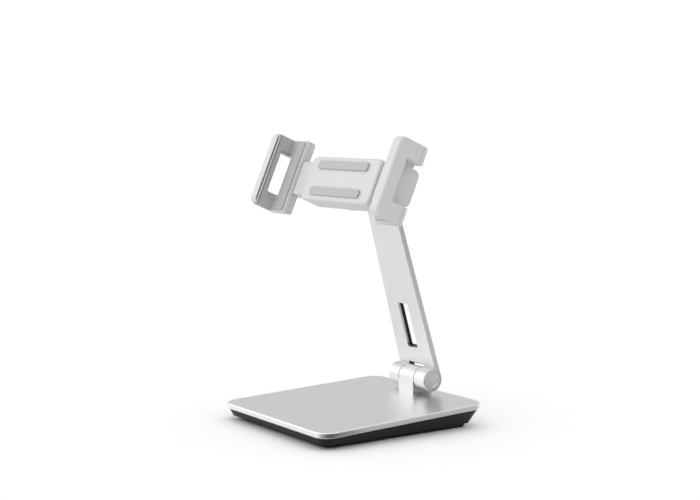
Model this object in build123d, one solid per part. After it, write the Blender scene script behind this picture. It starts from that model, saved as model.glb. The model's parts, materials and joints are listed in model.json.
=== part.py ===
from build123d import *
import os
from math import acos, cos, pi, radians, sin, tan

# Tablet stand: wedge base, one leaning arm on a friction hinge, and a tilting, turning clamp whose
# two jaws are kept centred by a rack and pinion. Millimetres.
# Origin: centre of the base, on the ground. +X to the user's right, +Y to the back, +Z up.

# ---- base ------------------------------------------------------------------------------------
BASE_WIDTH = 154.0
BASE_DEPTH = 158.5
BASE_CORNER_R = 13.0
PLATE_THICK = 4.4
PLATE_FRONT_HEIGHT = 9.6    # underside of the plate over the ground, at the front edge
WEDGE_ANGLE = 2.2           # the plate rises to the back
PLATE_EDGE = 0.6
TRAY_STEP = 1.3             # rim of the tray inside the edge of the plate
TRAY_TAPER = 30.0           # its sides draw in by this angle from upright
TRAY_HEIGHT = 3.5           # lower edge of the sides over the ground
TRAY_CORNER_R = 7.0         # of that lower edge
TRAY_WALL = 2.0
TRAY_FLOOR = 2.0
PLINTH_INSET = 10.5         # plinth below the tray, inside the edge of the plate
PLINTH_CORNER_R = 7.0
MAT_DROP = 1.5              # the mat stands out below the plinth
MAT_SEAT = 0.7              # and sits in a recess this deep
MAT_MARGIN = 1.0
BOSS_R = 4.0
BOSS_MARGIN = 1.5
BOSS_GRIP = 5.0             # boss between the screw's head and the plate
BLIND_END = 1.2             # metal left beyond the end of a blind screw hole
BALLAST_WIDTH = 102.0
BALLAST_DEPTH = 112.0
BALLAST_THICK = 5.0
BALLAST_CORNER_R = 5.0
BALLAST_GAP = 2.5           # ballast in front of the hinge lug
BALLAST_EDGE = 13.0         # its screws in from its edges

# ---- hinges, the same at both ends of the arm -----------------------------------------------------
HINGE_SETBACK = 14.55       # lower axis in from the back edge of the plate
HINGE_STAND = 12.2          # lower axis above the top of the plate
HINGE_R = 9.6
BOLT_R = 3.0
RUN = 0.05                  # radial running clearance
HEAD_R = 5.2
HEAD_HEIGHT = 3.2
NUT_HEIGHT = 4.0
DISC_HEIGHT = 0.6           # one disc spring, two to a hinge
DISC_PLATE = 0.4            # its metal
WASHER_CLEARANCE = 0.1      # washer round its bolt
SINK_CLEARANCE = 0.4
CAP_R = 8.3
CAP_SEAT = 2.0              # depth of its seat in the end of the barrel
CAP_SINK = 0.3              # rim of the cap below the end of the barrel
CAP_EDGE = 0.3
CAP_DISH_R = 5.9            # sunk middle of the cap
CAP_DISH_DEPTH = 0.7        # its wall slopes at 45 degrees
WASHER_THICK = 0.6
WASHER_RIM = 0.6            # friction washer inside the rim of the barrel
LUG_WIDTH = 20.0
LUG_SEAT = 1.6              # lug let into the plate
LUG_SCREW_SPACING = 11.0
LUG_SCREW_SINK = 2.0        # plate between a lug screw's head and the lug

# ---- arm --------------------------------------------------------------------------------------
ARM_REACH = 161.5           # from hinge axis to hinge axis
ARM_LEAN = 16.1             # leans forward
ARM_THICK = 4.8
ARM_FOOT_WIDTH = 49.6
ARM_HEAD_WIDTH = 38.0
ARM_EDGE_R = 0.6
LUG_GAP = 2.2               # blade to the lug, cut round the hinge axis
KNUCKLE_GAP = 0.9           # blade to the knuckle, cut square so that it can turn further
BARREL_EDGE = 0.5
SLOT_WIDTH = 13.5
SLOT_LENGTH = 40.0
SLOT_HEIGHT = 44.7          # middle of the cable slot above the lower axis
SLOT_CORNER_R = 1.0
GROMMET_WALL = 0.7
GROMMET_RECESS = 2.3        # its front edge behind the front of the arm
FLANGE_WIDTH = 1.5
FLANGE_THICK = 0.8          # flush with the back of the arm

# ---- clamp, measured from the tilt axis towards the tablet ------------------------------------------
BACKREST_LEAN = 23.44       # the tablet leans back
KNUCKLE_WIDTH = 16.0
DISC_BACK = 12.6
DISC_THICK = 3.4
DISC_R = 19.0
DISC_EDGE = 0.35
SWIVEL_WASHER_THICK = 0.6
SPIGOT_R = 5.5
WAVE_THICK = 1.2
RETAINER_R = 7.8
RETAINER_THICK = 1.4
COVER_THICK = 2.2
COVER_EDGE_R = 1.1
SLIDE_CLEARANCE = 0.3
BAR_THICK = 13.5
BAR_HEIGHT = 30.0
BAR_BACK_R = 5.0
BAR_FRONT_R = 1.5
FRONT_WALL = 2.2
PAD_THICK = 1.6
HOUSING_LENGTH = 98.0
HOUSING_WALL = 4.2          # above and below the bars
HOUSING_CORNER_R = 6.0
HOUSING_EDGE_R = 2.5
COVER_SCREW_INSET = 9.0     # from the ends of the housing
COVER_SCREW_BITE = 7.0      # hole in the housing from the top of the screw's head
PAD_SEAT = 0.5
REST_PAD_LENGTH = 70.0
REST_PAD_HEIGHT = 7.0
REST_PAD_CORNER_R = 2.3
REST_PAD_OFFSET = 11.5

# ---- jaws -----------------------------------------------------------------------------------------
TABLET_WIDTH = 169.5        # opening between the side pads as modelled
JAW_OPEN = 24.0             # travel of each jaw outwards from there
JAW_CLOSE = 16.0            # and inwards
JAW_HEIGHT = 64.5
JAW_WALL = 4.4
SIDE_PAD_THICK = 3.2
LIP_LINING = 0.8            # soft lining behind the lip and on its edge
LINING_INSET = 1.4          # lining inside the outline of the jaw
LINING_GAP = 0.5            # groove between the lining and the rim of the claw
LINING_EDGE = 0.5
LIP_REACH = 1.2             # lip over the side pad, towards the middle of the tablet
LIP_GAP = 14.5              # backrest to the lining behind the lip
LIP_THICK = 3.0
JAW_BACK_THICK = 3.7        # rear wall of the claw
CROSS_THICK = 4.6           # cross plate of the bar behind it
SEAM_GROOVE = 0.35          # round the cross plate where the claw meets it
JAW_FRONT_R = 6.0
JAW_BACK_R = 2.5
JAW_EDGE_R = 2.2
JAW_INNER_GAP = 0.5         # claw to housing, fully closed
WINDOW_HEIGHT = 35.0
WINDOW_REACH = 6.8          # window in front of the backrest
WINDOW_R = 1.5
PAD_WINDOW_MARGIN = 2.0
BAR_END_SETBACK = 7.3       # end of the bar inside the inner face of the claw's side wall
SCREW_FROM_EDGE = 7.0
JAW_SCREW_SPACING = 14.0

# ---- rack and pinion, springs --------------------------------------------------------------------
MODULE = 1.0
PINION_TEETH = 14
PRESSURE_ANGLE = 20.0
ADDENDUM = 0.8
DEDENDUM = 1.0
BACKLASH = 0.08             # taken off each tooth
GEAR_WIDTH = 4.2
GEAR_PLAY = 0.2
GEAR_BOSS = 1.5
BOSS_WALL = 1.0
AXLE_R = 2.0
AXLE_HEAD_R = 3.2
AXLE_HEAD_HEIGHT = 1.0
AXLE_BITE = 1.1             # pressed into the front wall
RACK_BACK = 5.2             # tongue from its root line to its back
RACK_OVERRUN = 3.0
RACK_ROOTED = 1.0           # tongue runs on into the bar
POCKET_CLEARANCE = 0.4
HUB_CLEARANCE = 0.7         # bar to pinion, fully closed
SPRING_R = 2.0
SPRING_WIRE = 0.5
SPRING_BRIDGE = 0.8         # across the end of the coil, carries the eye
SPRING_BORE_R = 2.4
SPRING_OFFSET = 10.2
SPRING_DEPTH = 4.1          # spring's centre line in front of the back of the bars
SPRING_PIN_R = 0.75
SPRING_PIN_X = 57.0
SPRING_PIN_GRIP = 1.0       # pin in the bar at each side of the bore
SPRING_BORE_OVERRUN = 4.0   # bore beyond the pin

# ---- small screws ----------------------------------------------------------------------------------
M2_R = 1.0
M2_HEAD_R = 1.9
M2_HEAD_HEIGHT = 1.1
M25_R = 1.25
M25_HEAD_R = 2.3
M25_HEAD_HEIGHT = 1.6
M3_R = 1.5
M3_HEAD_R = 2.8
M3_HEAD_HEIGHT = 2.0
M4_R = 2.0
M4_HEAD_R = 3.6
M4_HEAD_HEIGHT = 2.2
SOCKET_SHARE = 0.6          # of the head's radius and height
SCREW_CLEARANCE = 0.2
TRAY_SCREW = (M3_R, M3_HEAD_R, M3_HEAD_HEIGHT)
BALLAST_SCREW = (M4_R, M4_HEAD_R, M4_HEAD_HEIGHT)
LUG_SCREW = (M4_R, M4_HEAD_R, M4_HEAD_HEIGHT)
COVER_SCREW = (M2_R, M2_HEAD_R, M2_HEAD_HEIGHT)
JAW_SCREW = (M25_R, M25_HEAD_R, M25_HEAD_HEIGHT)
SWIVEL_SCREW = (M4_R, M4_HEAD_R, M4_HEAD_HEIGHT)

# ---- derived ---------------------------------------------------------------------------------------
WEDGE_RISE = tan(radians(WEDGE_ANGLE))
PLATE_MID_HEIGHT = PLATE_FRONT_HEIGHT + BASE_DEPTH / 2 * WEDGE_RISE
PLATE_FRAME = Location((0, 0, PLATE_MID_HEIGHT), (WEDGE_ANGLE, 0, 0))
PLATE_RISE = PLATE_THICK / cos(radians(WEDGE_ANGLE))
HINGE_Y = BASE_DEPTH / 2 - HINGE_SETBACK
PLATE_TOP = PLATE_MID_HEIGHT + HINGE_Y * WEDGE_RISE + PLATE_RISE    # at the lower hinge
HINGE_Z = PLATE_TOP + HINGE_STAND
LUG_FLOOR = PLATE_TOP - LUG_SEAT
LOWER_AXIS = Location((0, HINGE_Y, HINGE_Z))
ARM_FRAME = LOWER_AXIS * Location((0, 0, 0), (ARM_LEAN, 0, 0))
UPPER_AXIS = ARM_FRAME * Location((0, 0, ARM_REACH))
CLAMP_FRAME = UPPER_AXIS * Location((0, 0, 0), (-ARM_LEAN - BACKREST_LEAN, 0, 0))
LEFT = Location((0, 0, 0), (0, 180, 0))     # half a turn about the swivel axis

BALLAST_Y = HINGE_Y - HINGE_R - BALLAST_GAP - BALLAST_DEPTH / 2
BOSS_X = BASE_WIDTH / 2 - PLINTH_INSET - TRAY_WALL - BOSS_R - BOSS_MARGIN
BOSS_Y = BASE_DEPTH / 2 - PLINTH_INSET - TRAY_WALL - BOSS_R - BOSS_MARGIN

DISC_FRONT = DISC_BACK + DISC_THICK
COVER_BACK = DISC_FRONT + SWIVEL_WASHER_THICK
COVER_FRONT = COVER_BACK + COVER_THICK
BAR_BACK = COVER_FRONT + SLIDE_CLEARANCE
BAR_FRONT = BAR_BACK + BAR_THICK
WALL_BACK = BAR_FRONT + SLIDE_CLEARANCE
WALL_FRONT = WALL_BACK + FRONT_WALL
REST = WALL_FRONT + PAD_THICK               # the tablet's back lies here
HOUSING_HEIGHT = BAR_HEIGHT + 2 * (SLIDE_CLEARANCE + HOUSING_WALL)

PAD_X = TABLET_WIDTH / 2
JAW_INSIDE_X = PAD_X + SIDE_PAD_THICK
JAW_OUTSIDE_X = JAW_INSIDE_X + JAW_WALL
JAW_INNER_X = HOUSING_LENGTH / 2 + JAW_CLOSE + JAW_INNER_GAP
BAR_END_X = JAW_INSIDE_X - BAR_END_SETBACK
SEAM = WALL_FRONT - JAW_BACK_THICK
CROSS_BACK = SEAM - CROSS_THICK
LINING_FRONT = REST + LIP_GAP
LIP_BACK = LINING_FRONT + LIP_LINING
LIP_FRONT = LIP_BACK + LIP_THICK
LIP_EDGE_X = PAD_X - LIP_REACH

PITCH_R = MODULE * PINION_TEETH / 2
TIP_R = PITCH_R + ADDENDUM * MODULE
BAR_START_X = JAW_CLOSE + TIP_R + HUB_CLEARANCE
RACK_REACH = JAW_OPEN + RACK_OVERRUN
GEAR_FRONT = WALL_BACK - GEAR_BOSS - GEAR_PLAY
GEAR_BACK = GEAR_FRONT - GEAR_WIDTH
POCKET_END_X = RACK_REACH + 2 * JAW_CLOSE + POCKET_CLEARANCE
FAR = 400.0


# ---- small helpers -----------------------------------------------------------------------------------
def block(x, y, z):
    """Box between a pair of limits along each axis."""
    middle = Pos((x[0] + x[1]) / 2, (y[0] + y[1]) / 2, (z[0] + z[1]) / 2)
    return middle * Box(x[1] - x[0], y[1] - y[0], z[1] - z[0])


def rod(radius, start, end, bore=0.0):
    """Round bar along X, or a ring with a bore."""
    section = Circle(radius)
    if bore:
        section -= Circle(bore)
    return extrude(Plane.YZ.offset(start) * section, end - start)


def forward(sketch, start, end):
    """Extrude an X-Z outline towards the tablet, between two distances from the tilt axis."""
    return extrude(Plane.XZ.offset(start) * sketch, end - start)


def across(sketch, start, end):
    """Extrude a Y-Z outline along X."""
    return extrude(Plane.YZ.offset(start) * sketch, end - start)


def depth(z, start, end):
    """Slab between two distances from the tilt axis, as wide as the clamp."""
    return block((-FAR, FAR), (-end, -start), z)


def screw(kind, length, countersunk=False, socket=True):
    """Screw along +Z: the head lies under z = 0, the shank above it."""
    shank, head, height = kind
    top = (shank, 0) if countersunk else (head, 0)
    points = [(0, -height), (head, -height), top, (shank, 0), (shank, length), (0, length)]
    if countersunk:
        points.remove((shank, 0))
    body = revolve(Plane.XZ * make_face(Polyline(*points, close=True)), Axis.Z)
    if socket:
        body -= extrude(Pos(0, 0, -height) * RegularPolygon(head * SOCKET_SHARE, 6), height * SOCKET_SHARE)
    return body


def named(shape, name):
    """Label a piece and write its file."""
    export_step(Compound(children=list(shape.solids())) if len(shape.solids()) > 1 else shape.solid(),
                f"parts/{name}.step")


# ---- base pieces ---------------------------------------------------------------------------------------
def base_plate():
    outline = RectangleRounded(BASE_WIDTH, BASE_DEPTH, BASE_CORNER_R)
    slab = PLATE_FRAME * block((-FAR, FAR), (-FAR, FAR), (0, PLATE_THICK))
    plate = extrude(outline, FAR) & slab
    upward = Axis((0, 0, 0), Plane(PLATE_FRAME).z_dir)
    for face in (-1, 0):
        plate = chamfer(plate.faces().sort_by(upward)[face].edges(), PLATE_EDGE)
    foot = Rectangle(LUG_WIDTH, 2 * HINGE_R)
    plate -= Pos(0, HINGE_Y, LUG_FLOOR) * extrude(foot, PLATE_THICK)
    for place in lug_screw_places():
        plate -= place * Cylinder(LUG_SCREW[0] + SCREW_CLEARANCE, 4 * PLATE_THICK)
        plate -= place * Pos(0, 0, -PLATE_THICK) * Cylinder(LUG_SCREW[1] + SCREW_CLEARANCE, 2 * PLATE_THICK)
    for place in tray_screw_places():
        plate -= place * extrude(Circle(TRAY_SCREW[0]), tray_screw_length())
    for place in ballast_screw_places():
        plate -= place * extrude(Circle(BALLAST_SCREW[0]), ballast_screw_length())
    return plate


def tray_inset(y):
    """Lower edge of the tray inside the edge of the plate: more where the plate stands higher."""
    height = PLATE_MID_HEIGHT + y * WEDGE_RISE - TRAY_HEIGHT
    return TRAY_STEP + height * tan(radians(TRAY_TAPER))


def tray_loft(wall, floor):
    """Solid between the sloping plate and the lower edge, drawn in by the same angle all round."""
    half_width, half_depth = BASE_WIDTH / 2 - wall, BASE_DEPTH / 2 - wall
    front, back = tray_inset(-BASE_DEPTH / 2), tray_inset(BASE_DEPTH / 2)
    near, far = -half_depth + front, half_depth - back
    low = make_face(Polyline((-half_width + front, near), (half_width - front, near),
                             (half_width - back, far), (-half_width + back, far), close=True))
    low = fillet(low.vertices(), TRAY_CORNER_R - wall / 2)
    rim = RectangleRounded(BASE_WIDTH - 2 * (TRAY_STEP + wall),
                           (BASE_DEPTH - 2 * (TRAY_STEP + wall)) / cos(radians(WEDGE_ANGLE)),
                           BASE_CORNER_R - TRAY_STEP - wall / 2)
    sides = loft([Pos(0, 0, TRAY_HEIGHT) * low, PLATE_FRAME * rim], ruled=True)
    return sides & block((-FAR, FAR), (-FAR, FAR), (TRAY_HEIGHT + floor, FAR))


def plinth_outline(inside):
    inset = PLINTH_INSET + inside
    return RectangleRounded(BASE_WIDTH - 2 * inset, BASE_DEPTH - 2 * inset, PLINTH_CORNER_R - inside)


def base_tray():
    tray = tray_loft(0, 0)
    tray += Pos(0, 0, MAT_DROP) * extrude(plinth_outline(0), TRAY_HEIGHT - MAT_DROP)
    tray -= tray_loft(TRAY_WALL, TRAY_FLOOR)
    tray -= Pos(0, 0, MAT_DROP + TRAY_FLOOR) * extrude(plinth_outline(TRAY_WALL), TRAY_HEIGHT)
    under_plate = PLATE_FRAME * block((-FAR, FAR), (-FAR, FAR), (-FAR, 0))
    for place in tray_screw_places():
        boss = place * Pos(0, 0, 2 * BOSS_GRIP) * extrude(Circle(BOSS_R), -FAR)
        tray += boss & under_plate & block((-FAR, FAR), (-FAR, FAR), (MAT_DROP, FAR))
    for place in tray_screw_places():
        tray -= place * Cylinder(TRAY_SCREW[0] + SCREW_CLEARANCE, 4 * BOSS_GRIP)
        tray -= place * extrude(Circle(TRAY_SCREW[1] + SCREW_CLEARANCE), -place.position.Z)
    tray -= extrude(plinth_outline(MAT_MARGIN - SCREW_CLEARANCE), MAT_DROP + MAT_SEAT)
    return tray


def foot_mat():
    return extrude(plinth_outline(MAT_MARGIN), MAT_DROP + MAT_SEAT)


def tray_screw_length():
    return BOSS_GRIP + PLATE_THICK - BLIND_END


def tray_screw_places():
    """Under side of each screw head's seat, all the same grip below the sloping plate."""
    for x in (-BOSS_X, BOSS_X):
        for y in (-BOSS_Y, BOSS_Y):
            yield Location((x, y, PLATE_MID_HEIGHT + y * WEDGE_RISE - BOSS_GRIP))


def ballast_plate():
    outline = RectangleRounded(BALLAST_WIDTH, BALLAST_DEPTH, BALLAST_CORNER_R)
    slab = PLATE_FRAME * Pos(0, BALLAST_Y, -BALLAST_THICK) * extrude(outline, BALLAST_THICK)
    for place in ballast_screw_places():
        slab -= place * screw(BALLAST_SCREW, BALLAST_THICK, countersunk=True, socket=False)
    return slab


def ballast_screw_length():
    return BALLAST_THICK - BALLAST_SCREW[2] + PLATE_THICK - BLIND_END


def ballast_screw_places():
    """Top of each countersunk head, in the sloping frame of the plate."""
    for x in (-1, 1):
        for y in (-1, 1):
            yield PLATE_FRAME * Location((x * (BALLAST_WIDTH / 2 - BALLAST_EDGE),
                                          BALLAST_Y + y * (BALLAST_DEPTH / 2 - BALLAST_EDGE),
                                          BALLAST_SCREW[2] - BALLAST_THICK))


def lug_screw_places():
    """Seat of each lug screw's head, sunk in the underside of the plate."""
    for x in (-LUG_SCREW_SPACING / 2, LUG_SCREW_SPACING / 2):
        yield Location((x, HINGE_Y, LUG_FLOOR - LUG_SCREW_SINK))


def hinge_lug():
    stand = HINGE_Z - LUG_FLOOR
    outline = Circle(HINGE_R) + Pos(0, -stand / 2) * Rectangle(2 * HINGE_R, stand)
    lug = LOWER_AXIS * extrude(Plane.YZ * outline, LUG_WIDTH / 2, both=True)
    lug -= LOWER_AXIS * rod(BOLT_R + RUN, -LUG_WIDTH, LUG_WIDTH)
    for place in lug_screw_places():
        lug -= place * extrude(Circle(LUG_SCREW[0]), lug_screw_length())
    return lug


def lug_screw_length():
    return HINGE_Z - BOLT_R - BLIND_END - LUG_FLOOR + LUG_SCREW_SINK


# ---- hinge hardware --------------------------------------------------------------------------------------
def head_seat(half):
    return half - CAP_SEAT - HEAD_HEIGHT - SINK_CLEARANCE


def nut_seat(half):
    return half - CAP_SEAT - NUT_HEIGHT - 2 * DISC_HEIGHT - 2 * SINK_CLEARANCE


def barrel_holes(half):
    """Everything bored from the two ends of a barrel: bolt hole, head and nut sinks, cap seats."""
    holes = rod(BOLT_R + RUN, -half, half)
    holes += rod(HEAD_R + SINK_CLEARANCE, head_seat(half), half)
    holes += rod(HEAD_R + SINK_CLEARANCE, -half, -nut_seat(half))
    for side in (Location(), LEFT):
        holes += side * rod(CAP_R, half - CAP_SEAT, half)
    return holes


def hinge_bolt(half):
    seat = head_seat(half)
    tail = nut_seat(half) + 2 * DISC_HEIGHT + NUT_HEIGHT + SINK_CLEARANCE
    bolt = rod(HEAD_R, seat, seat + HEAD_HEIGHT) + rod(BOLT_R, -tail, seat)
    socket = across(RegularPolygon(BOLT_R, 6), seat + HEAD_HEIGHT / 3, seat + HEAD_HEIGHT)
    return bolt - socket


def hinge_nut(half):
    start = nut_seat(half) + 2 * DISC_HEIGHT
    return LEFT * across(RegularPolygon(HEAD_R, 6) - Circle(BOLT_R), start, start + NUT_HEIGHT)


def disc_springs(half):
    """Two conical washers, back to back, that press the joint together."""
    inner, outer = BOLT_R + WASHER_CLEARANCE, HEAD_R
    dish = DISC_HEIGHT - DISC_PLATE
    cone = Polyline((0, inner), (DISC_HEIGHT - dish, inner), (DISC_HEIGHT, outer), (dish, outer), close=True)
    one = revolve(make_face(cone), Axis.X)
    start = nut_seat(half)
    pair = [Pos(-start - DISC_HEIGHT, 0, 0) * one]
    pair.append(Pos(-start - DISC_HEIGHT, 0, 0) * mirror(one, Plane.YZ))
    return Compound(children=pair)


def friction_washers(lug_half):
    outer = HINGE_R - WASHER_RIM
    ring = rod(outer, lug_half, lug_half + WASHER_THICK, BOLT_R + WASHER_CLEARANCE)
    return Compound(children=[ring, LEFT * ring])


def hinge_caps(half):
    face = half - CAP_SINK
    cap = rod(CAP_R, half - CAP_SEAT, face)
    cap = chamfer(cap.faces().sort_by(Axis.X)[-1].edges(), CAP_EDGE)
    wall = Polyline((face - CAP_DISH_DEPTH, 0), (face - CAP_DISH_DEPTH, CAP_DISH_R - CAP_DISH_DEPTH),
                    (face, CAP_DISH_R), (face, 0), close=True)
    cap -= revolve(make_face(wall), Axis.X)
    return Compound(children=[cap, LEFT * cap])


# ---- arm -------------------------------------------------------------------------------------------------
def arm():
    foot, head = ARM_FOOT_WIDTH / 2, ARM_HEAD_WIDTH / 2
    outline = make_face(Polyline((-foot, 0), (foot, 0), (head, ARM_REACH), (-head, ARM_REACH), close=True))
    blade = extrude(Plane.XZ.offset(-HINGE_R) * outline, ARM_THICK)
    long_edges = blade.edges().filter_by(lambda edge: edge.length > ARM_REACH * 0.9)
    blade = fillet(long_edges, ARM_EDGE_R)
    body = blade
    for place, half in ((Pos(0, 0, 0), foot), (Pos(0, 0, ARM_REACH), head)):
        barrel = rod(HINGE_R, -half, half)
        body += place * chamfer(barrel.edges().filter_by(GeomType.CIRCLE), BARREL_EDGE)
        body -= place * barrel_holes(half)
    half_gap = LUG_WIDTH / 2 + WASHER_THICK
    body -= rod(HINGE_R + LUG_GAP, -half_gap, half_gap)
    half_gap = KNUCKLE_WIDTH / 2 + WASHER_THICK
    body -= block((-half_gap, half_gap), (-FAR, FAR), (ARM_REACH - HINGE_R - KNUCKLE_GAP, FAR))
    body -= slot_solid(0, HINGE_R - 2 * ARM_THICK, 2 * HINGE_R)
    body -= slot_solid(-FLANGE_WIDTH, HINGE_R - FLANGE_THICK, 2 * HINGE_R)
    return ARM_FRAME * body


def slot_solid(inset, front, back):
    """Rounded slot between two depths behind the lower axis; a negative inset makes it larger."""
    outline = RectangleRounded(SLOT_WIDTH - 2 * inset, SLOT_LENGTH - 2 * inset, SLOT_CORNER_R)
    return Pos(0, 0, SLOT_HEIGHT) * forward(outline, -back, -front)


def cable_grommet():
    front = HINGE_R - ARM_THICK + GROMMET_RECESS
    grommet = slot_solid(0, front, HINGE_R) + slot_solid(-FLANGE_WIDTH, HINGE_R - FLANGE_THICK, HINGE_R)
    return ARM_FRAME * (grommet - slot_solid(GROMMET_WALL, 0, 2 * HINGE_R))


# ---- knuckle and swivel ---------------------------------------------------------------------------------
def tilt_knuckle():
    outline = Circle(HINGE_R) + Pos(-DISC_BACK / 2, 0) * Rectangle(DISC_BACK, 2 * HINGE_R)
    knuckle = extrude(Plane.YZ * outline, KNUCKLE_WIDTH / 2, both=True)
    disc = forward(Circle(DISC_R), DISC_BACK, DISC_FRONT)
    disc = chamfer(disc.edges(), DISC_EDGE)
    knuckle += disc
    knuckle += forward(Circle(SPIGOT_R), DISC_FRONT, COVER_FRONT + WAVE_THICK)
    knuckle -= rod(BOLT_R + RUN, -KNUCKLE_WIDTH, KNUCKLE_WIDTH)
    knuckle -= forward(Circle(SWIVEL_SCREW[0]), swivel_screw_end(), FAR)
    return knuckle


def swivel_screw_end():
    return BOLT_R + BLIND_END + SWIVEL_SCREW[0]


def swivel_washer():
    return forward(Circle(DISC_R - WASHER_RIM) - Circle(SPIGOT_R + RUN), DISC_FRONT, COVER_BACK)


def swivel_wave_washer():
    return forward(Circle(RETAINER_R) - Circle(SPIGOT_R + RUN), COVER_FRONT, COVER_FRONT + WAVE_THICK)


def swivel_retainer():
    ring = Circle(RETAINER_R) - Circle(SWIVEL_SCREW[0] + SCREW_CLEARANCE)
    start = COVER_FRONT + WAVE_THICK
    return forward(ring, start, start + RETAINER_THICK)


def swivel_screw():
    seat = COVER_FRONT + WAVE_THICK + RETAINER_THICK
    body = screw(SWIVEL_SCREW, seat - swivel_screw_end())
    return Pos(0, -seat, 0) * Rot(-90, 0, 0) * body


# ---- clamp housing ----------------------------------------------------------------------------------------
def bar_outline(gap):
    """Cross-section of the sliding bars, grown by a gap: well rounded behind, less so in front."""
    high, front, back = BAR_HEIGHT / 2 + gap, BAR_FRONT + gap, BAR_BACK - gap
    outline = Pos(-(front + back) / 2, 0) * Rectangle(front - back, 2 * high)
    outline = fillet(outline.vertices().group_by(Axis.X)[-1], BAR_BACK_R + gap)
    return fillet(outline.vertices().group_by(Axis.X)[0], BAR_FRONT_R + gap)


def housing_outline():
    return RectangleRounded(HOUSING_LENGTH, HOUSING_HEIGHT, HOUSING_CORNER_R)


def rest_pad_places():
    return [Pos(0, side * REST_PAD_OFFSET) for side in (-1, 1)]


def clamp_housing():
    shell = forward(housing_outline(), COVER_FRONT, WALL_FRONT)
    shell = fillet(shell.faces().sort_by(Axis.Y)[0].edges(), HOUSING_EDGE_R)
    shell -= across(bar_outline(SLIDE_CLEARANCE), -FAR, FAR)
    shell += forward(Circle(AXLE_HEAD_R + BOSS_WALL), GEAR_FRONT + GEAR_PLAY, WALL_BACK)
    shell -= forward(Circle(AXLE_R), 0, WALL_BACK + AXLE_BITE)
    for place in rest_pad_places():
        shell -= forward(place * rest_pad_outline(), WALL_FRONT - PAD_SEAT, WALL_FRONT)
    for place in cover_screw_places():
        shell -= place * extrude(Circle(COVER_SCREW[0]), COVER_SCREW_BITE)
    return shell


def rest_pad_outline():
    return RectangleRounded(REST_PAD_LENGTH, REST_PAD_HEIGHT, REST_PAD_CORNER_R)


def backrest_pads():
    pads = [forward(place * rest_pad_outline(), WALL_FRONT - PAD_SEAT, REST) for place in rest_pad_places()]
    return Compound(children=pads)


def clamp_cover():
    cover = forward(housing_outline(), COVER_BACK, COVER_FRONT)
    cover = fillet(cover.faces().sort_by(Axis.Y)[-1].edges(), COVER_EDGE_R)
    cover -= forward(Circle(SPIGOT_R + RUN), 0, FAR)
    for place in cover_screw_places():
        cover -= place * screw(COVER_SCREW, 2 * COVER_THICK, countersunk=True, socket=False)
    return cover


def cover_screw_places():
    """Top of each countersunk head, with +Z towards the tablet."""
    for x in (-1, 1):
        for z in (-1, 1):
            yield Location((x * (HOUSING_LENGTH / 2 - COVER_SCREW_INSET), -COVER_BACK - COVER_SCREW[2],
                            z * (HOUSING_HEIGHT - HOUSING_WALL) / 2), (90, 0, 0))


def cover_screws():
    body = screw(COVER_SCREW, COVER_SCREW_BITE, countersunk=True)
    return Compound(children=[place * body for place in cover_screw_places()])


# ---- rack and pinion --------------------------------------------------------------------------------------
def half_tooth():
    return (pi * MODULE / 2 - BACKLASH) / 2


def pinion():
    """Involute pinion with one tooth straight up."""
    base_r = PITCH_R * cos(radians(PRESSURE_ANGLE))
    root_r = PITCH_R - DEDENDUM * MODULE

    def involute(radius):
        angle = acos(base_r / radius)
        return tan(angle) - angle

    flank_radii = [base_r + (TIP_R - base_r) * step / 4 for step in range(5)]
    centre = half_tooth() / PITCH_R + involute(PITCH_R)
    flank = [(root_r, centre)] + [(radius, centre - involute(radius)) for radius in flank_radii]
    profile = [(radius, -angle) for radius, angle in flank]
    profile += [(radius, angle) for radius, angle in reversed(flank)]
    points = []
    for tooth in range(PINION_TEETH):
        turn = 2 * pi * tooth / PINION_TEETH
        points += [(radius * sin(turn + angle), radius * cos(turn + angle)) for radius, angle in profile]
    gear = make_face(Polyline(*points, close=True)) - Circle(AXLE_R + RUN)
    return forward(gear, GEAR_BACK, GEAR_FRONT)


def pinion_axle():
    head = GEAR_BACK - GEAR_PLAY
    axle = forward(Circle(AXLE_R), head, WALL_BACK + AXLE_BITE)
    return axle + forward(Circle(AXLE_HEAD_R), head - AXLE_HEAD_HEIGHT, head)


def rack_outline():
    """Tongue of the right-hand bar: teeth below, with a gap between teeth over the pinion's centre."""
    pitch = pi * MODULE
    slope = tan(radians(PRESSURE_ANGLE))
    root, tip = PITCH_R + DEDENDUM * MODULE, PITCH_R - ADDENDUM * MODULE
    wide = half_tooth() + DEDENDUM * MODULE * slope
    narrow = half_tooth() - ADDENDUM * MODULE * slope
    points = [(-RACK_REACH, root + RACK_BACK), (-RACK_REACH, root)]
    first = -int((RACK_REACH - wide) / pitch + 0.5)
    last = int((BAR_START_X - wide) / pitch - 0.5)
    for tooth in range(first, last + 1):
        middle = (tooth + 0.5) * pitch
        points += [(middle - wide, root), (middle - narrow, tip)]
        points += [(middle + narrow, tip), (middle + wide, root)]
    end = BAR_START_X + RACK_ROOTED
    points += [(end, root), (end, root + RACK_BACK)]
    return make_face(Polyline(*points, close=True))


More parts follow.
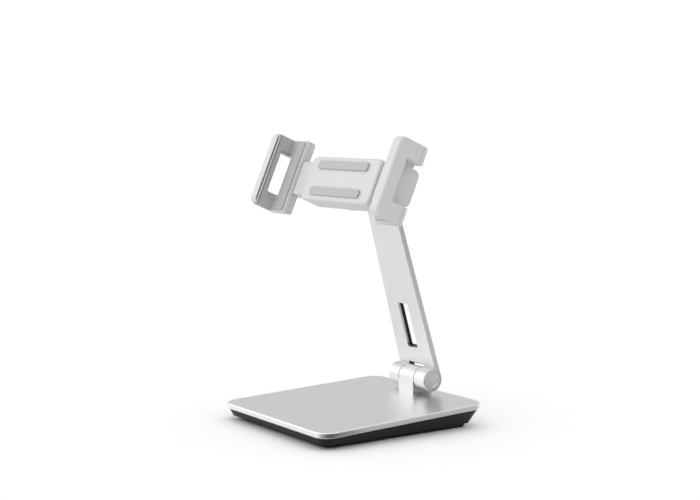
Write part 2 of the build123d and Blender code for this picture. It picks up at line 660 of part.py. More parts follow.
def slide_bar():
    """Right-hand bar: body with a cross plate for the claw, and a toothed tongue."""
    bar = across(bar_outline(0), BAR_START_X, BAR_END_X)
    bar += cross_plate()
    bar -= window(0)
    bar += forward(rack_outline(), GEAR_BACK, GEAR_FRONT)
    low, high = PITCH_R - ADDENDUM * MODULE, PITCH_R + DEDENDUM * MODULE + RACK_BACK
    bar -= block((BAR_START_X, POCKET_END_X), (-GEAR_FRONT - POCKET_CLEARANCE, -GEAR_BACK + POCKET_CLEARANCE),
                 (-high - POCKET_CLEARANCE, -low + POCKET_CLEARANCE))
    for place in spring_places():
        bore_end = SPRING_PIN_X + SPRING_BORE_OVERRUN
        bar -= place * rod(SPRING_BORE_R, BAR_START_X, bore_end)
        bar -= place * Pos(SPRING_PIN_X, 0, 0) * Rot(90, 0, 0) * Cylinder(SPRING_PIN_R, 2 * pin_half())
    for place in jaw_screw_places():
        bar -= place * Cylinder(JAW_SCREW[0] + SCREW_CLEARANCE, 2 * CROSS_THICK)
        bar -= place * extrude(Circle(JAW_SCREW[1] + SCREW_CLEARANCE), -CROSS_THICK)
    return bar


def cross_plate():
    """Rear part of the jaw, with a fine groove round it at the seam with the claw."""
    plate = jaw_blank() & depth((-FAR, FAR), 0, SEAM)
    groove = depth((-FAR, FAR), SEAM - SEAM_GROOVE, SEAM)
    half = JAW_HEIGHT / 2 - SEAM_GROOVE
    inside = (JAW_INNER_X + SEAM_GROOVE, JAW_OUTSIDE_X - SEAM_GROOVE)
    return plate - (groove - block(inside, (-FAR, 0), (-half, half)))


def spring_places():
    return [Pos(0, -BAR_BACK - SPRING_DEPTH, side * SPRING_OFFSET) for side in (-1, 1)]


def pin_half():
    return SPRING_BORE_R + SPRING_PIN_GRIP


def clamp_springs():
    """Two extension springs, close-wound, with an eye at each end round a pin in each bar."""
    eye_r = SPRING_PIN_R + SPRING_WIRE / 2
    eye = Circle(eye_r + SPRING_WIRE) - Circle(eye_r)
    tube_end = SPRING_PIN_X - eye_r - SPRING_WIRE / 2
    bridge_high = SPRING_R - SPRING_WIRE / 2
    springs = []
    for place in spring_places():
        tube = rod(SPRING_R, -tube_end, tube_end, SPRING_R - SPRING_WIRE)
        for side in (-1, 1):
            tube += Pos(side * SPRING_PIN_X, 0, 0) * forward(eye, -SPRING_WIRE / 2, SPRING_WIRE / 2)
            tube += block(sorted((side * (tube_end - SPRING_WIRE), side * tube_end)),
                          (-SPRING_BRIDGE / 2, SPRING_BRIDGE / 2), (-bridge_high, bridge_high))
        springs.append(place * tube)
    return Compound(children=springs)


def spring_pins():
    pin = Pos(SPRING_PIN_X, 0, 0) * Rot(90, 0, 0) * Cylinder(SPRING_PIN_R, 2 * pin_half())
    return Compound(children=[place * pin for place in spring_places()])


# ---- jaws --------------------------------------------------------------------------------------------------
def jaw_outline(inset):
    long, high = LIP_FRONT - CROSS_BACK - 2 * inset, JAW_HEIGHT - 2 * inset
    outline = Pos(-(CROSS_BACK + LIP_FRONT) / 2, 0) * Rectangle(long, high)
    outline = fillet(outline.vertices().group_by(Axis.X)[0], JAW_FRONT_R - inset)
    return fillet(outline.vertices().group_by(Axis.X)[-1], JAW_BACK_R - inset)


def jaw_blank():
    """Outside of a right-hand jaw, claw and cross plate together."""
    blank = across(jaw_outline(0), JAW_INNER_X, JAW_OUTSIDE_X)
    return fillet(blank.faces().sort_by(Axis.X)[-1].edges(), JAW_EDGE_R)


def window(margin):
    """Opening in the side wall, open to the back."""
    front, back = REST + WINDOW_REACH + margin, 0
    high = WINDOW_HEIGHT / 2 + margin
    outline = Pos(-(front + back) / 2, 0) * Rectangle(front - back, 2 * high)
    outline = fillet(outline.vertices().group_by(Axis.X)[0], WINDOW_R)
    return across(outline, BAR_END_X, FAR)


def claw():
    body = jaw_blank() & depth((-FAR, FAR), SEAM, FAR)
    body -= block((0, JAW_INSIDE_X), (-LIP_BACK, -WALL_FRONT), (-FAR, FAR))
    body -= block((0, LIP_EDGE_X), (-FAR, -WALL_FRONT), (-FAR, FAR))
    seat = across(jaw_outline(LINING_INSET - LINING_GAP), LIP_EDGE_X, LIP_EDGE_X + LIP_LINING)
    body -= seat & depth((-FAR, FAR), WALL_FRONT, FAR)
    body -= block((0, BAR_END_X), (-BAR_FRONT - RUN, 0), (-BAR_HEIGHT / 2 - RUN, BAR_HEIGHT / 2 + RUN))
    body -= window(0)
    for place in jaw_screw_places():
        body -= place * extrude(Circle(JAW_SCREW[0]), jaw_screw_length())
    return body


def jaw_pad():
    """Soft lining of a right-hand claw in one: back strip, side strip and the hook round the lip."""
    start, edge = JAW_INNER_X + JAW_EDGE_R, LIP_EDGE_X
    front = LIP_FRONT - LINING_INSET
    profile = [(start, WALL_FRONT), (JAW_INSIDE_X, WALL_FRONT), (JAW_INSIDE_X, LIP_BACK)]
    profile += [(edge + LIP_LINING, LIP_BACK), (edge + LIP_LINING, front), (edge + LINING_EDGE, front)]
    profile += [(edge, front - LINING_EDGE), (edge, LINING_FRONT + LINING_EDGE)]
    profile += [(edge + LINING_EDGE, LINING_FRONT), (PAD_X, LINING_FRONT), (PAD_X, REST), (start, REST)]
    face = make_face(Polyline(*[(x, -deep) for x, deep in profile], close=True))
    lining = extrude(face, JAW_HEIGHT / 2, both=True) & across(jaw_outline(LINING_INSET), start, JAW_INSIDE_X)
    return lining - window(PAD_WINDOW_MARGIN)


def jaw_screw_places():
    """Seat of each head, sunk in the cross plate, with +Z towards the tablet."""
    seat = CROSS_BACK + JAW_SCREW[2] + SCREW_CLEARANCE
    for x in (0, 1):
        for z in (-1, 1):
            yield Location((JAW_INNER_X + SCREW_FROM_EDGE + x * JAW_SCREW_SPACING, -seat,
                            z * (JAW_HEIGHT / 2 - SCREW_FROM_EDGE)), (90, 0, 0))


def jaw_screw_length():
    return WALL_FRONT - CROSS_BACK - JAW_SCREW[2] - SCREW_CLEARANCE - JAW_SCREW[0] / 2


def jaw_screws():
    body = screw(JAW_SCREW, jaw_screw_length())
    return Compound(children=[place * body for place in jaw_screw_places()])


# ---- assembly ----------------------------------------------------------------------------------------------
def pieces():
    yield "base_plate", base_plate()
    yield "base_tray", base_tray()
    yield "foot_mat", foot_mat()
    yield "ballast_plate", ballast_plate()
    yield "hinge_lug", hinge_lug()
    bite = screw(TRAY_SCREW, tray_screw_length())
    yield "tray_screws", Compound(children=[place * bite for place in tray_screw_places()])
    flush = screw(BALLAST_SCREW, ballast_screw_length(), countersunk=True)
    yield "ballast_screws", Compound(children=[place * flush for place in ballast_screw_places()])
    bite = screw(LUG_SCREW, lug_screw_length())
    yield "lug_screws", Compound(children=[place * bite for place in lug_screw_places()])

    yield "arm", arm()
    yield "cable_grommet", cable_grommet()
    hinges = (("lower", ARM_FRAME, ARM_FOOT_WIDTH / 2, LUG_WIDTH / 2),
              ("upper", UPPER_AXIS, ARM_HEAD_WIDTH / 2, KNUCKLE_WIDTH / 2))
    for name, frame, half, lug_half in hinges:
        yield f"{name}_hinge_bolt", frame * hinge_bolt(half)
        yield f"{name}_hinge_nut", frame * hinge_nut(half)
        yield f"{name}_disc_springs", frame * disc_springs(half)
        yield f"{name}_friction_washers", frame * friction_washers(lug_half)
        yield f"{name}_hinge_caps", frame * hinge_caps(half)

    for make in (tilt_knuckle, swivel_washer, swivel_wave_washer, swivel_retainer, swivel_screw,
                 clamp_housing, clamp_cover, cover_screws, backrest_pads, pinion, pinion_axle,
                 clamp_springs):
        yield make.__name__, CLAMP_FRAME * make()
    for name, side in (("right", Location()), ("left", LEFT)):
        for make in (slide_bar, spring_pins, claw, jaw_pad, jaw_screws):
            yield f"{make.__name__}_{name}", CLAMP_FRAME * side * make()


def main():
    os.makedirs("parts", exist_ok=True)
    for name, shape in pieces():
        named(shape, name)


main()
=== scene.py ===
"""Looks of the tablet stand: its finishes, the wound springs, the studio and the camera.

Everything is in metres in the CAD's frame: +X to the user's right, +Y to the back, +Z up.
"""
import json
import math

import bpy
import numpy as np
from mathutils import Matrix, Vector


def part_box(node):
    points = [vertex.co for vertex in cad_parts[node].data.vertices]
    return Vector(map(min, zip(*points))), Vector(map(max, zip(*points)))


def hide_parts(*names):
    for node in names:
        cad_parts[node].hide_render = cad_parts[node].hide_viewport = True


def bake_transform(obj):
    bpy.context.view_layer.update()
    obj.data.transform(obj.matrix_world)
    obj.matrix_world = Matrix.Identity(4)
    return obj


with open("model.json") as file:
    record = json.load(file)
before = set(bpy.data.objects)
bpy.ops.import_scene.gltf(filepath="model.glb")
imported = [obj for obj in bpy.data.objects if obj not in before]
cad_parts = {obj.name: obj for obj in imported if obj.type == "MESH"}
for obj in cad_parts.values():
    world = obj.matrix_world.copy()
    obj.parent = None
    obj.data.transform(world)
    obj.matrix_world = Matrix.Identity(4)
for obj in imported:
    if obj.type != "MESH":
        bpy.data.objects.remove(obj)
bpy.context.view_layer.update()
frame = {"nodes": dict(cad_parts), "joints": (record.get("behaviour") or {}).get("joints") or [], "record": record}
JOINTS = {joint["name"]: joint for joint in frame["joints"]}
LOWER_HINGE = JOINTS["arm_fold"]["pos_m"]
UPPER_HINGE = JOINTS["clamp_tilt"]["pos_m"]
BACKWARDS = np.array(JOINTS["clamp_swivel"]["axis"])    # from the tablet towards the arm


# ---- shader arithmetic --------------------------------------------------------------------------
class Wire:
    """One output socket of a material. Arithmetic on it adds the nodes that work it out."""

    def __init__(self, shader, socket):
        self.shader = shader
        self.socket = socket

    def maths(self, operation, first, second=0.0):
        return self.shader.node("ShaderNodeMath", {"operation": operation}, {0: first, 1: second})

    def __add__(self, other):
        return self.maths("ADD", self, other)

    __radd__ = __add__

    def __sub__(self, other):
        return self.maths("SUBTRACT", self, other)

    def __rsub__(self, other):
        return self.maths("SUBTRACT", other, self)

    def __mul__(self, other):
        return self.maths("MULTIPLY", self, other)

    __rmul__ = __mul__

    def root(self):
        return self.maths("SQRT", self)

    def sine(self):
        return self.maths("SINE", self)

    def rise(self, start, end):
        """0 below start, 1 above end, smooth between."""
        return self.shader.node("ShaderNodeMapRange", {"interpolation_type": "SMOOTHSTEP"},
                                {"Value": self, "From Min": start, "From Max": end})

    def near(self, middle, inner, outer):
        """1 within inner of a middle, 0 beyond outer of it, smooth between."""
        return (self.rise(middle - outer, middle - inner)
                * (1.0 - self.rise(middle + inner, middle + outer)))


class Shader:
    """A material, or the world, being wired."""

    def __init__(self, owner):
        owner.use_nodes = True
        self.tree = owner.node_tree
        self.tree.nodes.clear()

    def node(self, kind, settings, inputs, output=0):
        """Add a node: its settings first, then a number, colour or Wire for each socket."""
        made = self.tree.nodes.new(kind)
        for name, value in settings.items():
            setattr(made, name, value)
        for socket, value in inputs.items():
            if isinstance(value, Wire):
                self.tree.links.new(value.socket, made.inputs[socket])
            else:
                made.inputs[socket].default_value = value
        return Wire(self, made.outputs[output]) if len(made.outputs) else made

    def place(self):
        """Place in metres, from the object's origin."""
        return self.node("ShaderNodeTexCoord", {}, {}, "Object")

    def place_from(self, origin):
        """Place in metres, from an origin of one's own."""
        return self.node("ShaderNodeMapping", {},
                         {"Vector": self.place(), "Location": [-value for value in origin]})

    def noise(self, scale, detail, roughness=0.5):
        """Noise from 0 to 1, with about scale lumps to the metre."""
        return self.node("ShaderNodeTexNoise", {}, {"Vector": self.place(), "Scale": scale,
                                                    "Detail": detail, "Roughness": roughness}, "Fac")

    def from_axis(self, centre):
        """Distance in metres from a line along X through a centre."""
        at = self.place_from(centre)
        depth, height = (self.node("ShaderNodeSeparateXYZ", {}, {0: at}, axis) for axis in "YZ")
        return (depth * depth + height * height).root()

    def along(self, origin, direction):
        """Distance in metres from an origin, measured along a direction."""
        return self.node("ShaderNodeVectorMath", {"operation": "DOT_PRODUCT"},
                         {0: self.place_from(origin), 1: direction}, "Value")

    def tint(self, amount, first, second):
        """Colour between two colours: the first at 0, the second at 1."""
        return self.node("ShaderNodeMix", {"data_type": "RGBA"},
                         {"Factor": amount, 6: (*first, 1), 7: (*second, 1)}, 2)

    def bump(self, height, depth, strength):
        return self.node("ShaderNodeBump", {},
                         {"Height": height, "Distance": depth, "Strength": strength})

    def surface(self, **inputs):
        """Principled surface. Underscores in the names stand for spaces."""
        wires = {name.replace("_", " "): value for name, value in inputs.items()}
        shade = self.node("ShaderNodeBsdfPrincipled", {}, wires)
        self.node("ShaderNodeOutputMaterial", {}, {"Surface": shade})


def material(name, wire_up):
    made = bpy.data.materials.new(name)
    wire_up(Shader(made))
    return made


# ---- finishes -----------------------------------------------------------------------------------
# Each finish drifts between two colours.
PLATE_SILVER = ((0.83, 0.83, 0.835), (0.86, 0.86, 0.865))
BLASTED_SILVER = ((0.70, 0.70, 0.705), (0.74, 0.74, 0.745))
LIGHT_GREY = ((0.51, 0.51, 0.515), (0.54, 0.54, 0.545))
TRAY_BLACK = ((0.005, 0.005, 0.0055), (0.009, 0.009, 0.0095))
RUBBER_BLACK = ((0.012, 0.012, 0.012), (0.025, 0.025, 0.025))
SILICONE_GREY = ((0.35, 0.35, 0.355), (0.40, 0.40, 0.405))
ZINC = ((0.50, 0.51, 0.53), (0.60, 0.60, 0.61))
ACETAL_BLACK = ((0.018, 0.018, 0.019), (0.028, 0.028, 0.029))
# Painted shade of the gap where a hinge cap meets its seat.
GAP_SHADE_GREY = (0.10, 0.10, 0.10)
ARM_GREY, ARM_DRIFT = 0.70, 0.04    # pure greys, where a shade is worked out: darkest, and drift
LINING_GREY, LINING_DRIFT = 0.35, 0.05

TURNING_PITCH = 0.0008              # of the rings that turning leaves
CAP_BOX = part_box("lower_hinge_caps")
CAP_RADIUS = (CAP_BOX[1][2] - CAP_BOX[0][2]) / 2
GAP_SHADE_WIDTH = 0.0004                 # painted shade of the gap round a cap's edge

# Painted shade on the left wall of the arm's notch, beside the lug.
NOTCH_WALL = 0.0106                 # left wall of the arm's notch, from the middle of the stand
NOTCH_WALL_BAND = (0.00003, 0.00015)    # off that wall: full dark, and none
NOTCH_REACH = 0.0126                # of the notch, from the lower hinge's axis
NOTCH_REACH_EDGE = 0.0004
NOTCH_SHADE = 0.95

FOLD_BACK = 0.0512                  # of the lining over the lip, in front of the upper hinge's axis
FOLD_FRONT = 0.0536
FOLD_EDGE = 0.0002
FOLD_LIGHTER = 0.20
# Painted shade in the lining's creases, on each side of the fold over the lip.
INNER_CREASE_SHADE_SPAN = (0.0015, 0.00105)    # behind FOLD_BACK: where the painted shade of the crease begins, and is full
INNER_SHADE = 0.6
OUTER_CREASE_SHADE_SPAN = (0.0006, 0.0004)     # the same behind FOLD_FRONT
OUTER_SHADE = 0.93


def plate_aluminium(shader):
    """Silver anodised aluminium, blasted fine: an even grain, with faint clouds in its sheen."""
    grain = shader.noise(scale=3200, detail=1.0)
    cloud = shader.noise(scale=45, detail=3.0)
    shader.surface(Base_Color=shader.tint(cloud, *PLATE_SILVER), Metallic=1.0,
                   Roughness=cloud * 0.05 + grain * 0.04 + 0.26,
                   Normal=shader.bump(grain, depth=0.00002, strength=0.5))


def blasted_coarse(shader, cloud, colour):
    """The alloy blasted coarser than on the plate, in a colour of the caller's."""
    grain = shader.noise(scale=2600, detail=1.0)
    shader.surface(Base_Color=colour, Metallic=1.0, Roughness=cloud * 0.06 + grain * 0.05 + 0.38,
                   Normal=shader.bump(grain, depth=0.000025, strength=0.5))


def blasted_aluminium(shader):
    """The lug's and the knuckle's finish."""
    cloud = shader.noise(scale=60, detail=3.0)
    blasted_coarse(shader, cloud, shader.tint(cloud, *BLASTED_SILVER))


def arm_aluminium(shader):
    """The same on the arm, with painted shade on the left wall of the notch that the lug stands in."""
    cloud = shader.noise(scale=60, detail=3.0)
    wall = shader.along(LOWER_HINGE, (-1, 0, 0)).near(NOTCH_WALL, *NOTCH_WALL_BAND)
    beyond = shader.from_axis(LOWER_HINGE).rise(NOTCH_REACH - NOTCH_REACH_EDGE, NOTCH_REACH)
    # painted shade: on the notch's left wall, within the notch's reach of the hinge's axis
    dark = wall * (1.0 - beyond)
    blasted_coarse(shader, cloud, (cloud * ARM_DRIFT + ARM_GREY) * (1.0 - dark * NOTCH_SHADE))


def turned_cap(centre):
    """Turned aluminium: rings round the hinge's axis, and a line of painted shade where the cap meets its seat."""
    def wire_up(shader):
        radius = shader.from_axis(centre)
        rings = (radius * (2 * math.pi / TURNING_PITCH)).sine() * 0.5 + 0.5
        grain = shader.noise(scale=2600, detail=1.0)
        # painted shade in the gap round the cap's edge
        gap_shade = radius.rise(CAP_RADIUS - GAP_SHADE_WIDTH, CAP_RADIUS)
        shader.surface(Base_Color=shader.tint(gap_shade, BLASTED_SILVER[0], GAP_SHADE_GREY),
                       Metallic=1.0, Roughness=rings * 0.08 + grain * 0.05 + 0.28,
                       Normal=shader.bump(rings * 0.6 + grain * 0.4, depth=0.000015, strength=0.6))
    return wire_up


def satin_grey_plastic(shader):
    """Light grey moulded plastic with a fine spark-eroded texture."""
    grain = shader.noise(scale=2200, detail=2.0)
    cloud = shader.noise(scale=60, detail=2.0)
    shader.surface(Base_Color=shader.tint(cloud, *LIGHT_GREY), Roughness=grain * 0.08 + 0.38,
                   Normal=shader.bump(grain, depth=0.00003, strength=0.5))


def black_plastic(shader):
    """Black moulded plastic, matt, with a slightly coarser texture."""
    grain = shader.noise(scale=1500, detail=3.0, roughness=0.6)
    shader.surface(Base_Color=shader.tint(grain, *TRAY_BLACK), Roughness=grain * 0.12 + 0.32,
                   Specular_IOR_Level=0.20,
                   Normal=shader.bump(grain, depth=0.00006, strength=0.7))


def foot_rubber(shader):
    """Black rubber of the mat, dull and coarse-grained."""
    grain = shader.noise(scale=900, detail=3.0, roughness=0.6)
    shader.surface(Base_Color=shader.tint(grain, *RUBBER_BLACK), Roughness=grain * 0.1 + 0.75,
                   Normal=shader.bump(grain, depth=0.0001, strength=0.8))


def soft_silicone(shader, grain, colour):
    """Silicone with a soft sheen, in a colour of the caller's."""
    shader.surface(Base_Color=colour, Roughness=grain * 0.1 + 0.55,
                   Normal=shader.bump(grain, depth=0.00004, strength=0.6))


def grip_silicone(shader):
    """Grey silicone of the pads behind the tablet."""
    grain = shader.noise(scale=1200, detail=2.0)
    soft_silicone(shader, grain, shader.tint(grain, *SILICONE_GREY))


def jaw_lining(shader):
    """The same silicone, lighter where it folds over the edge of the lip, with painted shade in a crease
    on each side of the fold."""
    grain = shader.noise(scale=1200, detail=2.0)
    depth = shader.along(UPPER_HINGE, -BACKWARDS)
    fold = depth.rise(FOLD_BACK - FOLD_EDGE, FOLD_BACK)
    # painted shade in the creases on each side of the fold
    inner_crease_shade = depth.rise(*(FOLD_BACK - behind for behind in INNER_CREASE_SHADE_SPAN)) * (1.0 - fold)
    outer_crease_shade = depth.rise(*(FOLD_FRONT - behind for behind in OUTER_CREASE_SHADE_SPAN))
    shade = 1.0 - inner_crease_shade * INNER_SHADE - outer_crease_shade * OUTER_SHADE
    soft_silicone(shader, grain, (grain * LINING_DRIFT + LINING_GREY + fold * FOLD_LIGHTER) * shade)


def zinc_plate(shader):
    """Zinc-plated steel, with soft clouds in its colour and sheen."""
    grain = shader.noise(scale=2600, detail=2.0)
    cloud = shader.noise(scale=240, detail=3.0)
    shader.surface(Base_Color=shader.tint(cloud, *ZINC), Metallic=1.0,
                   Roughness=cloud * 0.12 + 0.24,
                   Normal=shader.bump(grain, depth=0.00001, strength=0.5))


def black_acetal(shader):
    """Black acetal with a fine grain."""
    grain = shader.noise(scale=1800, detail=2.0)
    shader.surface(Base_Color=shader.tint(grain, *ACETAL_BLACK), Roughness=grain * 0.08 + 0.30,
                   Normal=shader.bump(grain, depth=0.00001, strength=0.4))


FINISHES = {
    "silver_aluminium": material("blasted_aluminium", blasted_aluminium),
    "grey_plastic": material("satin_grey_plastic", satin_grey_plastic),
    "black_plastic": material("black_plastic", black_plastic),
    "foot_rubber": material("foot_rubber", foot_rubber),
    "grip_rubber": material("grip_silicone", grip_silicone),
    "steel": material("zinc_plate", zinc_plate),
    "acetal": material("black_acetal", black_acetal),
}
OWN_FINISHES = {
    "base_plate": material("plate_aluminium", plate_aluminium),
    "arm": material("arm_aluminium", arm_aluminium),
    "jaw_pad_left": material("jaw_lining", jaw_lining),
    "lower_hinge_caps": material("lower_turned_cap", turned_cap(LOWER_HINGE)),
    "upper_hinge_caps": material("upper_turned_cap", turned_cap(UPPER_HINGE)),
}
OWN_FINISHES["jaw_pad_right"] = OWN_FINISHES["jaw_pad_left"]


def finish_nodes():
    """Give every CAD node its own finish, or else the one of its slot."""
    for part in frame["record"]["subparts"]:
        finish = OWN_FINISHES.get(part["node"], FINISHES[part["material_slot"]])
        for slot in frame["nodes"][part["node"]].material_slots:
            slot.material = finish


# ---- clamp springs ------------------------------------------------------------------------------
# The springs' own axes are ALONG the bars, BACKWARDS and UPWARDS on the clamp's face.
ALONG = np.array((1.0, 0.0, 0.0))
UPWARDS = np.cross(ALONG, BACKWARDS)
PIN_MIDDLE = np.array(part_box("spring_pins_right")).mean(axis=0)     # between the bar's two pins
SPRING_OFFSET = 0.0102                  # of each spring, from the middle of the clamp's height
COIL_RADIUS = 0.00175                   # to the middle of the wire
COIL_PITCH = 0.00095                    # as stretched by a tablet between the jaws
COIL_NECK = 0.0024                      # length in which the coil closes in on its eye
TURN_STEPS = 18                         # of the wire's path, in a turn of the coil
EYE_STEPS = 54                          # and in an eye
WIRE_RADIUS = 0.00025
WIRE_SIDES = 8
EYE_RADIUS = 0.00125
EYE_PULL = 0.00022                      # eye drawn against the outer side of its pin
EYE_MIDDLE = PIN_MIDDLE[0] - EYE_PULL
COIL_LENGTH = EYE_MIDDLE - EYE_RADIUS   # from the middle of the spring to its eye
COIL_TURNS = COIL_LENGTH / COIL_PITCH


def wire(path, outward, closed, first):
    """Points and faces of a round wire along a path P with direction T: P + w (cos a N + sin a B),
    where N is the outward way made square to T, and B = T x N. Its points are numbered from first."""
    if closed:
        ahead = np.roll(path, -1, axis=0) - np.roll(path, 1, axis=0)
    else:
        ahead = np.gradient(path, axis=0)
    ahead /= np.linalg.norm(ahead, axis=1, keepdims=True)
    normal = outward - (outward * ahead).sum(axis=1, keepdims=True) * ahead
    normal /= np.linalg.norm(normal, axis=1, keepdims=True)
    turn = np.linspace(0, 2 * np.pi, WIRE_SIDES, endpoint=False)[None, :, None]
    points = path[:, None] + WIRE_RADIUS * (np.cos(turn) * normal[:, None]
                                            + np.sin(turn) * np.cross(ahead, normal)[:, None])
    rings = len(path)
    here, spoke = np.meshgrid(np.arange(rings if closed else rings - 1), np.arange(WIRE_SIDES),
                              indexing="ij")
    after, beside = (here + 1) % rings, (spoke + 1) % WIRE_SIDES
    corners = [here * WIRE_SIDES + spoke, here * WIRE_SIDES + beside,
               after * WIRE_SIDES + beside, after * WIRE_SIDES + spoke]
    faces = (first + np.stack(corners, axis=-1).reshape(-1, 4)).tolist()
    if not closed:
        start = list(range(first, first + WIRE_SIDES))
        faces += [start[::-1], [point + (rings - 1) * WIRE_SIDES for point in start]]
    return points.reshape(-1, 3), faces


def coil(side):
    """Half a spring, from its middle to the eye: x = p t, y = r cos 2 pi t, z = r sin 2 pi t over
    t turns, with r closing in smoothly along the neck. The outward way goes with it."""
    turns = side * np.linspace(0, COIL_TURNS, int(TURN_STEPS * COIL_TURNS))
    angle = 2 * np.pi * turns
    neck = np.clip((np.abs(turns) * COIL_PITCH - COIL_LENGTH + COIL_NECK) / COIL_NECK, 0, 1)
    radius = COIL_RADIUS * (1 - neck * neck * (3 - 2 * neck))
    outward = np.stack([np.zeros_like(angle), np.cos(angle), np.sin(angle)], axis=-1)
    path = np.stack([turns * COIL_PITCH, radius * outward[:, 1], radius * outward[:, 2]], axis=-1)
    return path, outward


def eye(side):
    """Ring round the pin: x = c + e cos a, z = e sin a. The outward way goes with it."""
    angle = np.linspace(0, 2 * np.pi, EYE_STEPS, endpoint=False)
    outward = np.stack([np.cos(angle), np.zeros_like(angle), np.sin(angle)], axis=-1)
    return np.array((side * EYE_MIDDLE, 0, 0)) + EYE_RADIUS * outward, outward


def spring_halves(name, side):
    """The halves of both springs that lie in one bar."""
    points, faces = np.empty((0, 3)), []
    for offset in (-SPRING_OFFSET, SPRING_OFFSET):
        for (path, outward), closed in ((coil(side), False), (eye(side), True)):
            more_points, more_faces = wire(path, outward, closed, len(points))
            points = np.concatenate([points, more_points + np.array((0, 0, offset))])
            faces += more_faces
    middle = PIN_MIDDLE * (0, 1, 1)
    mesh = bpy.data.meshes.new(name)
    mesh.from_pydata(middle + points @ np.stack([ALONG, BACKWARDS, UPWARDS]), [], faces)
    mesh.shade_smooth()
    mesh.materials.append(FINISHES["steel"])
    piece = bpy.data.objects.new(name, mesh)
    bpy.context.scene.collection.objects.link(piece)
    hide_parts("clamp_springs")
    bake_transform(piece)


# ---- studio -------------------------------------------------------------------------------------
CAMERA_PLACE = (0.9490, -0.6537, 0.2526)
CAMERA_AZIMUTH = 55.52              # degrees, as are the next two
CAMERA_ELEVATION = 5.44
CAMERA_ROLL = -0.07
CAMERA_CLIP = 0.01
LENS = 73.0                         # millimetres, as is the sensor
SENSOR_WIDTH = 36.0
ROOM_STRENGTH = 1.02
FLOOR_SIZE = 60.0
# Soft boxes: name, place, point aimed at, width and height, power. The first stands in front on the
# user's left, the second straight in front and higher.
LAMPS = (
    ("left_box", (-1.7, -1.3, 0.9), (0, 0, 0.1), (3.0, 2.4), 11.0),
    ("front_box", (-0.1, -1.9, 1.4), (0, 0, 0.15), (1.8, 1.4), 16.0),
)
# Upright cards: name, width, height, middle, grey.
UPRIGHT_CARDS = (
    ("shade_side", 3.2, 2.0, (1.3, 0.9, 1.01), 0.42),
    ("shade_back", 3.2, 1.6, (-1.3, 0.9, 0.81), 0.65),
    ("camera_shade", 1.9, 1.0, (1.5, -1.03, 0.51), 0.12),
    ("low_shade", 1.6, 0.34, (1.2, 0.83, 0.18), 0.12),
)
# Cards on the floor, for the faces that look down to it: name, length, width, middle of the near
# edge, heading in degrees from +X, grey.
FLOOR_CARDS = (
    ("side_strip", 0.155, 0.24, (0.085, 0.07, 0.0005), 0, 0.48),
    ("corner_strip", 0.20, 0.12, (0.084, -0.070, 0.0008), -25, 0.02),
)


def facing(direction, axis):
    """Turn that points an object's own axis along a direction."""
    return Vector(direction).to_track_quat(axis, "Y").to_matrix().to_4x4()


def spin(degrees, axis):
    """Turn by an angle about an axis."""
    return Matrix.Rotation(math.radians(degrees), 4, axis)


def camera():
    made = bpy.data.objects.new("camera", bpy.data.cameras.new("camera"))
    bpy.context.scene.collection.objects.link(made)
    made.data.lens = LENS
    made.data.sensor_width = SENSOR_WIDTH
    made.data.clip_start = CAMERA_CLIP
    turn = spin(CAMERA_AZIMUTH, "Z") @ spin(90 - CAMERA_ELEVATION, "X") @ spin(CAMERA_ROLL, "Z")
    made.matrix_world = Matrix.Translation(CAMERA_PLACE) @ turn
    bpy.context.scene.camera = made


def lamp(name, place, aim, size, power, floor):
    """Soft box that lights everything but the floor, which the room alone lights."""
    data = bpy.data.lights.new(name, "AREA")
    data.shape = "RECTANGLE"
    data.size, data.size_y = size
    data.energy = power
    made = bpy.data.objects.new(name, data)
    bpy.context.scene.collection.objects.link(made)
    made.matrix_world = Matrix.Translation(place) @ facing(Vector(aim) - Vector(place), "-Z")
    made.visible_camera = False
    spared = bpy.data.collections.new(name + "_spares")
    spared.objects.link(floor)
    spared.collection_objects[0].light_linking.link_state = "EXCLUDE"
    made.light_linking.receiver_collection = spared


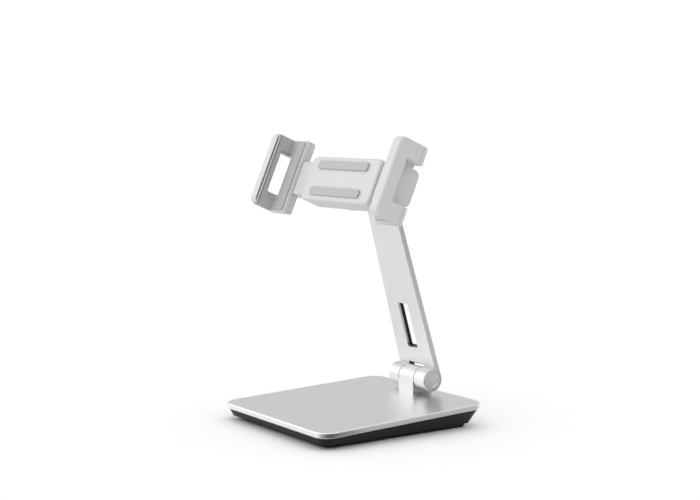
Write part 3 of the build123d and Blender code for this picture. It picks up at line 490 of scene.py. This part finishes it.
def room(shader):
    """Even white all round."""
    glow = shader.node("ShaderNodeBackground", {},
                       {"Color": (1, 1, 1, 1), "Strength": ROOM_STRENGTH})
    shader.node("ShaderNodeOutputWorld", {}, {"Surface": glow})


def floor_paint(shader):
    """Matt white."""
    matt = shader.node("ShaderNodeBsdfDiffuse", {}, {"Color": (1, 1, 1, 1)})
    shader.node("ShaderNodeOutputMaterial", {}, {"Surface": matt})


def card_paint(grey):
    """Evenly lit card of one grey."""
    def wire_up(shader):
        glow = shader.node("ShaderNodeEmission", {},
                           {"Color": (grey, grey, grey, 1), "Strength": 1.0})
        shader.node("ShaderNodeOutputMaterial", {}, {"Surface": glow})
    return wire_up


def stage_sheet(name, width, height, place, paint):
    """Flat rectangle of the studio, facing along its local Z."""
    across, up = width / 2, height / 2
    corners = [(-across, -up, 0), (across, -up, 0), (across, up, 0), (-across, up, 0)]
    mesh = bpy.data.meshes.new(name)
    mesh.from_pydata(corners, [], [(0, 1, 2, 3)])
    mesh.materials.append(paint)
    sheet = bpy.data.objects.new(name, mesh)
    bpy.context.scene.collection.objects.link(sheet)
    sheet.matrix_world = place
    return sheet


def card(name, width, height, place, grey):
    """Grey card that is seen in the object's sheen alone."""
    sheet = stage_sheet(name, width, height, place, material(name + "_paint", card_paint(grey)))
    sheet.visible_camera = False
    sheet.visible_diffuse = False
    sheet.visible_shadow = False


def studio():
    floor = stage_sheet("floor", FLOOR_SIZE, FLOOR_SIZE, Matrix(),
                        material("white_floor", floor_paint))
    world = bpy.data.worlds.new("room")
    bpy.context.scene.world = world
    room(Shader(world))
    for name, place, aim, size, power in LAMPS:
        lamp(name, place, aim, size, power, floor)
    for name, width, height, middle, grey in UPRIGHT_CARDS:
        to_object = facing((-middle[0], -middle[1], 0), "Z")
        card(name, width, height, Matrix.Translation(middle) @ to_object, grey)
    for name, length, width, start, heading, grey in FLOOR_CARDS:
        outwards = spin(heading, "Z") @ Matrix.Translation((length / 2, 0, 0))
        card(name, length, width, Matrix.Translation(start) @ outwards, grey)
    bpy.context.scene.view_settings.view_transform = "Standard"


finish_nodes()
spring_halves("spring_halves_right", 1)
spring_halves("spring_halves_left", -1)
studio()
camera()
